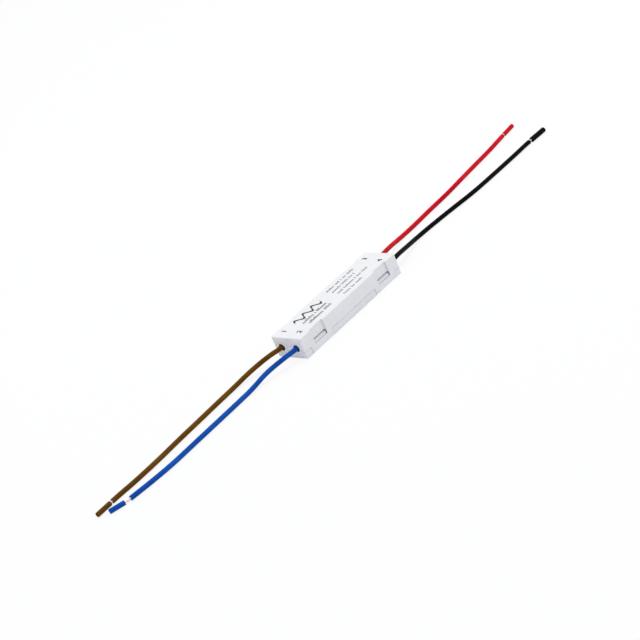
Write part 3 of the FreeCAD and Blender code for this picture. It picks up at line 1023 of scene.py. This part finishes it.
# %% Mix the ink
ink_black = ((20, 20, 22), (34, 34, 37))
pinhole_grey = (190, 190, 194)
finish, shader, place = new_finish("roof_ink", IOR=1.48)
grain = use(moulded_grain, place, Grain_Size=0.00016, Flow_Size=0.002)
colour = blend(grain["Flow"], *ink_black)
pinholes = fit(noise(place, 9000.0, detail=1.0), 0.70, 0.74)
colour = blend(pinholes, colour, pinhole_grey)
drive(shader, colour, between(grain["Grain"], 0.48, 0.62), grain["Grain"], depth=0.000004)
dressed(roof_print, finish)

# %% [markdown]
# ## PVC skins
#
# Wire insulation is PVC with pigment mixed in. The die leaves fine streaks along the
# wire, the twisted strands press through as a faint ripple that winds round it, and the
# pigment clouds a little. The streaks read the remembered place on the straight wire.

# %% Mix the four PVC colours
pvc_roughness = 0.42
streak_share = 0.25
settled_share = 0.35
pvc_smudge = 0.06
ripple_share = 0.7
settled_dust = (170, 166, 158)
pvc_colours = {
    "brown": ((89, 54, 2), (116, 76, 9)),
    "blue": ((4, 66, 155), (20, 88, 184)),
    "red": ((193, 4, 21), (222, 24, 42)),
    "black": ((1, 1, 1), (8, 8, 9)),
}

for name, (deep, bright) in pvc_colours.items():
    finish, shader, place = new_finish(name + "_skin", wire_place, IOR=1.5, Specular_IOR_Level=0.045)
    skin = use(extruded_skin, place)
    marks = use(handling_marks, place, Smudge_Size=0.003)
    colour = blend(skin["Mottle"], deep, bright)
    colour = blend(skin["Streaks"] * streak_share, colour, bright)
    colour = blend(marks["Dust"] * settled_share, colour, settled_dust)
    rough = between(skin["Mottle"], pvc_roughness - 0.04, pvc_roughness + 0.05)
    rough = rough + marks["Smudge"] * pvc_smudge
    height = skin["Ripple"] * ripple_share + skin["Streaks"] * (1.0 - ripple_share)
    drive(shader, colour, rough, height, depth=0.000014)
    insulation, core, slug = wires[name]
    dressed(insulation, finish)
    dressed(slug, finish)

# %% [markdown]
# ## Tinned strands
#
# Copper for such wires is tinned, so it is a pale metal with a warm breath where the tin
# is thin. Drawing through a die leaves fine lines along each strand.

# %% Mix the tinned copper
tin_colour = (236, 231, 221)
thin_tin_colour = (214, 193, 165)
finish, shader, place = new_finish("tinned_strands", wire_place, Metallic=1.0)
metal = use(tinned_metal, place)
colour = blend(metal["Tarnish"], tin_colour, thin_tin_colour)
drive(shader, colour, between(metal["Tarnish"], 0.42, 0.58), metal["Lines"], depth=0.000003)
for insulation, core, slug in wires.values():
    dressed(core, finish)

# %% [markdown]
# ## Metal legs on a moulded body
#
# The parts on the board are one piece each, a body with tinned legs or leads. Two
# finishes would need two slots, but where the metal starts is known: it is whatever
# sticks out of the body's own box. The box group gives that as a mask, which mixes the
# two colours and also switches the shader to metal.

# %% Define a body with tinned legs
lead_tin = (205, 207, 210)
lead_tarnish = (168, 168, 166)


def inner_box(node, inset_x=0.0, inset_y=0.0):
    """A node's box with its ends drawn in by these distances."""
    low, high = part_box(node)
    inset = Vector((inset_x, inset_y, 0.0))
    return low + inset, high - inset


def legged_part(node, colours, roughness, body, grain_size=0.00012, paint=None):
    """A finish for a body with tinned legs. Paint may add marks to the body's colour."""
    finish, shader, place = new_finish(node, IOR=1.5)
    legs = use(outside_box, place, Low=body[0], High=body[1])["Outside"]
    grain = use(moulded_grain, place, Grain_Size=grain_size, Flow_Size=0.0025)
    metal = use(tinned_metal, place, Line_Scale=(2600.0, 2600.0, 2600.0))
    colour = blend(grain["Flow"], *colours)
    if paint:
        colour = paint(place, colour)
    body_rough = between(grain["Grain"], roughness - 0.05, roughness + 0.08)
    drive(
        shader,
        blend(legs, colour, blend(metal["Tarnish"], lead_tin, lead_tarnish)),
        blend_values(legs, body_rough, between(metal["Tarnish"], 0.24, 0.42)),
        blend_values(legs, grain["Grain"], metal["Lines"]),
        depth=0.000008,
        metallic=legs,
    )
    dressed(nodes[node], finish)


# %% [markdown]
# ## Black moulded parts
#
# The bridge rectifier, the optocoupler, the Zener diode and the small transistor are all
# transfer-moulded in black epoxy, matt and faintly grainy. A pale printed bar marks the
# rectifier's plus side and the Zener's cathode, and the optocoupler's two mould halves
# left a thin dull line half way up its body.

# %% Dress the black moulded parts
epoxy_black = ((24, 24, 26), (38, 38, 40))
mark_white = (214, 214, 210)
parting_grey = (70, 70, 72)
plus_inset = 0.0006
plus_reach = 0.00022
cathode_inset = 0.0007
cathode_reach = 0.0003
parting_reach = 0.00005
parting_share = 0.6


def banded(axis, reach, marks, share=1.0, worn=False):
    """Paint for bands across one axis, given as their places and colours."""

    def paint(place, colour):
        along = split(place)[axis]
        for position, mark in marks.items():
            band = near(along, position, reach)
            if worn:
                band = band * fit(noise(place, 6000.0), 0.62, 0.70, 1.0, 0.3)
            elif share < 1.0:
                band = band * share
            colour = blend(band, colour, mark)
        return colour

    return paint


bridge_body = inner_box("bridge_rectifier", inset_y=0.0012)
coupler_body = inner_box("optocoupler", inset_y=0.0015)
zener_body = inner_box("zener_diode", inset_x=0.00045)
transistor_body = inner_box("output_transistor", inset_x=0.0006)
coupler_waist = (coupler_body[0].z + coupler_body[1].z) / 2

plus_place = bridge_body[0].x + plus_inset
cathode_place = zener_body[0].x + cathode_inset
plus_bar = banded(0, plus_reach, {plus_place: mark_white}, worn=True)
cathode_bar = banded(0, cathode_reach, {cathode_place: mark_white}, worn=True)
parting_line = banded(2, parting_reach, {coupler_waist: parting_grey}, share=parting_share)
legged_part("bridge_rectifier", epoxy_black, 0.5, bridge_body, paint=plus_bar)
legged_part("optocoupler", epoxy_black, 0.48, coupler_body, paint=parting_line)
legged_part("zener_diode", epoxy_black, 0.46, zener_body, paint=cathode_bar)
legged_part("output_transistor", epoxy_black, 0.5, transistor_body)

# %% [markdown]
# ## Parts with leads
#
# The boxed film capacitor is yellow and satin. The varistor is dipped in blue epoxy,
# which runs and dries a little uneven, so it is glossier. The fusible resistor has a
# flameproof lacquer with colour bands, where each band is one digit of its value.

# %% Dress the parts with leads
board_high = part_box("circuit_board")[1].z
body_lift = 0.00005
lead_reach = 0.00118


def above_board(node, lift, inset_x=0.0):
    """A node's box from this far above the board upwards, with its ends drawn in."""
    low, high = inner_box(node, inset_x)
    return Vector((low.x, low.y, board_high + lift)), high


fusible_body = above_board("fusible_resistor", body_lift, lead_reach)
fusible_middle = (fusible_body[0].x + fusible_body[1].x) / 2
band_reach = 0.00024
colour_bands = {
    fusible_middle - 0.00235: (222, 178, 28),
    fusible_middle - 0.00125: (96, 52, 140),
    fusible_middle - 0.00045: (28, 26, 26),
    fusible_middle + 0.00035: (190, 150, 70),
    fusible_middle + 0.00235: (228, 226, 218),
}
bands = banded(0, band_reach, colour_bands)
lacquer_green = ((122, 140, 134), (140, 156, 150))
box_yellow = ((222, 176, 26), (230, 188, 44))
dipped_blue = ((18, 66, 140), (34, 88, 166))
capacitor_body = above_board("input_capacitor", -0.00001)
varistor_body = above_board("varistor", body_lift)
legged_part("fusible_resistor", lacquer_green, 0.42, fusible_body, paint=bands)
legged_part("input_capacitor", box_yellow, 0.4, capacitor_body, grain_size=0.0002)
legged_part("varistor", dipped_blue, 0.24, varistor_body, grain_size=0.0004)

# %% [markdown]
# ## Electrolytic capacitor
#
# An aluminium can sits in a black shrink sleeve with a pale stripe down its minus side.
# The sleeve rolls a little over the rim, so the can's end shows bare metal inside a dark
# ring, and the leads leave the other end through a rubber bung. The stripe is an angle
# round the can's axis, and the bare end is a distance from that axis.

# %% Dress the electrolytic capacitor
can_low, can_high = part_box("smoothing_capacitor")
lead_room = 0.00098
rim_width = 0.00035
can_start = can_low.x + lead_room
can_radius = (can_high.y - can_low.y) / 2
can_axis = Vector((0.0, (can_low.y + can_high.y) / 2, can_high.z - can_radius))
can_body = (Vector((can_start, can_low.y, board_high)), can_high)
stripe_angle = 1.1
stripe_reach = 0.42
dash_reach = 0.09
dash_pitch = 0.0016
dash_half = 0.28
bare_radius = can_radius - rim_width
sleeve_black = ((22, 22, 26), (32, 32, 36))
stripe_grey = (176, 180, 184)
dash_black = (24, 24, 26)
bare_aluminium = (196, 198, 200)


def with_sleeve(place, colour):
    """Adds the stripe with its dashes, and the bare end of the can."""
    along, across, up = split(vector_maths("SUBTRACT", place, can_axis))
    angle = maths("ARCTAN2", up, across)
    dashes = near(maths("FRACT", along / dash_pitch), 0.5, dash_half)
    colour = blend(near(angle, stripe_angle, stripe_reach), colour, stripe_grey)
    colour = blend(dashes * near(angle, stripe_angle, dash_reach), colour, dash_black)
    inside_rim = across * across + up * up < bare_radius**2
    return blend(near(along, can_high.x, 0.00005) * inside_rim, colour, bare_aluminium)


legged_part("smoothing_capacitor", sleeve_black, 0.34, can_body, paint=with_sleeve)

# %% [markdown]
# ## Chip parts
#
# Chip resistors are slips of white ceramic with a black glass over the top, and chip
# capacitors are fired brown ceramic all through. Both wear a tinned cap on each end. The
# four resistors are one node, so the distance from the nearer column's middle is found
# by folding X about the middle between the columns.

# %% Dress the chip parts
chip_body_half = 0.0006
chip_half = 0.001
cap_edge = 0.00002
chip_mottle = 0.2


def chip_finish(node, top_colour, side_colour):
    """A chip part's finish, with tinned caps beyond the middle part of each chip."""
    low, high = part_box(node)
    middle = (low.x + high.x) / 2
    column = (high.x - low.x) / 2 - chip_half
    finish, shader, place = new_finish(node, IOR=1.5)
    along, _, _ = split(place)
    from_column = abs(abs(along - middle) - column)
    caps = fit(from_column, chip_body_half, chip_body_half + cap_edge)
    _, _, facing_up = facing(place.tree)
    grain = use(moulded_grain, place, Grain_Size=0.00008, Flow_Size=0.0009)
    metal = use(tinned_metal, place, Line_Scale=(3000.0, 3000.0, 3000.0))
    body = blend(fit(facing_up, 0.7, 0.8), side_colour, top_colour)
    body = blend(grain["Flow"] * chip_mottle, body, lead_tarnish)
    colour = blend(caps, body, blend(metal["Tarnish"], lead_tin, lead_tarnish))
    rough = between(grain["Grain"], 0.3, 0.46)
    drive(shader, colour, rough, grain["Grain"], depth=0.000005, metallic=caps)
    dressed(nodes[node], finish)


chip_finish("chip_resistors", (26, 26, 28), (226, 224, 216))
# The capacitors' top is given a slightly lighter brown than their sides.
chip_finish("chip_capacitors", (164, 128, 96), (156, 120, 90))

# %% [markdown]
# ## Solder
#
# Hand-soldered mounds set with a dull frosted skin and a brighter flank, and the flux
# leaves an amber film round the foot. Solder has no drawing lines, so its height comes
# from two sizes of soft noise.

# %% Mix the solder
solder_tones = ((200, 202, 204), (164, 166, 168))
flux_amber = (150, 104, 42)
film_share = 0.7
frost_share = 0.3
finish, shader, place = new_finish("solder")
frost = use(moulded_grain, place, Grain_Size=0.00009, Flow_Size=0.0008)
flux = fit(noise(place, 1500.0, detail=3.0), 0.56, 0.66)
colour = blend(frost["Flow"], *solder_tones)
colour = blend(flux * film_share, colour, flux_amber)
rough = between(frost["Grain"], 0.22, 0.46)
height = frost["Flow"] + frost["Grain"] * frost_share
metallic = between(flux, 1.0, 0.25)
drive(shader, colour, rough, height, depth=0.000015, metallic=metallic)
dressed(nodes["solder_joints"], finish)

# %% [markdown]
# ## Circuit board
#
# The board is glass cloth in epoxy, coated with green solder mask. Copper tracks under
# the mask show as a paler green and stand up by the thickness of the foil. Tracks run on
# a grid: a whole-numbered cell picks by white noise whether its stretch of track is
# there. White outlines show where each part goes, and the cut edges stay the colour of
# the laminate.

# %% Draw the tracks and outlines
track_pitch = 0.00127
track_run = 0.0052
track_share = 0.17
kept_tracks = 0.5
outline_gap = 0.0002
outline_reach = 0.00007


def track_rows(along, across, series):
    """Straight tracks on a grid, each stretch kept or left out by chance."""
    lanes = across / track_pitch
    cell = {0: maths("FLOOR", along / track_run), 1: maths("FLOOR", lanes), 2: series}
    cell = add(along.tree, "ShaderNodeCombineXYZ", cell)[0]
    chance = add(along.tree, "ShaderNodeTexWhiteNoise", {"Vector": cell})["Value"]
    return (chance > kept_tracks) * near(maths("FRACT", lanes), 0.5, track_share)


def part_outline(x, y, node):
    """A thin frame a little outside a part's box."""
    low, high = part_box(node)
    beside = abs(x - (low.x + high.x) / 2) - (high.x - low.x) / 2
    before = abs(y - (low.y + high.y) / 2) - (high.y - low.y) / 2
    return near(largest(beside, before), outline_gap, outline_reach)


# %% Dress the circuit board
thread_turns = 12000.0
level_from = 0.5
finish, shader, place = new_finish("board_mask", IOR=1.52)
x, y, _ = split(place)
tracks = largest(track_rows(x, y, 1.0), track_rows(y, x, 2.0))
outlined = ("input_capacitor", "fusible_resistor", "varistor", "bridge_rectifier", "optocoupler")
outlines = largest(*(part_outline(x, y, part) for part in outlined))
_, _, facing_up = facing(place.tree)
cut_edge_share = near(facing_up, 0.0, level_from)
grain = use(moulded_grain, place, Grain_Size=0.00025, Flow_Size=0.004)
weave = maths("SINE", x * thread_turns) * maths("SINE", y * thread_turns)
colour = blend(grain["Flow"], (14, 86, 50), (20, 98, 58))
colour = blend(tracks, colour, (38, 128, 76))
colour = blend(outlines * (facing_up > level_from), colour, mark_white)
layers = fit(noise(scaled(place, (200.0, 200.0, 9000.0)), 1.0), 0.35, 0.65)
laminate = blend(layers, (190, 178, 118), (158, 148, 96))
colour = blend(cut_edge_share, colour, laminate)
rough = blend_values(cut_edge_share, between(grain["Grain"], 0.24, 0.36), 0.7)
height = tracks + fit(weave, -1.0, 1.0, 0.0, 0.25)
drive(shader, colour, rough, height, depth=0.00002)
dressed(nodes["circuit_board"], finish)
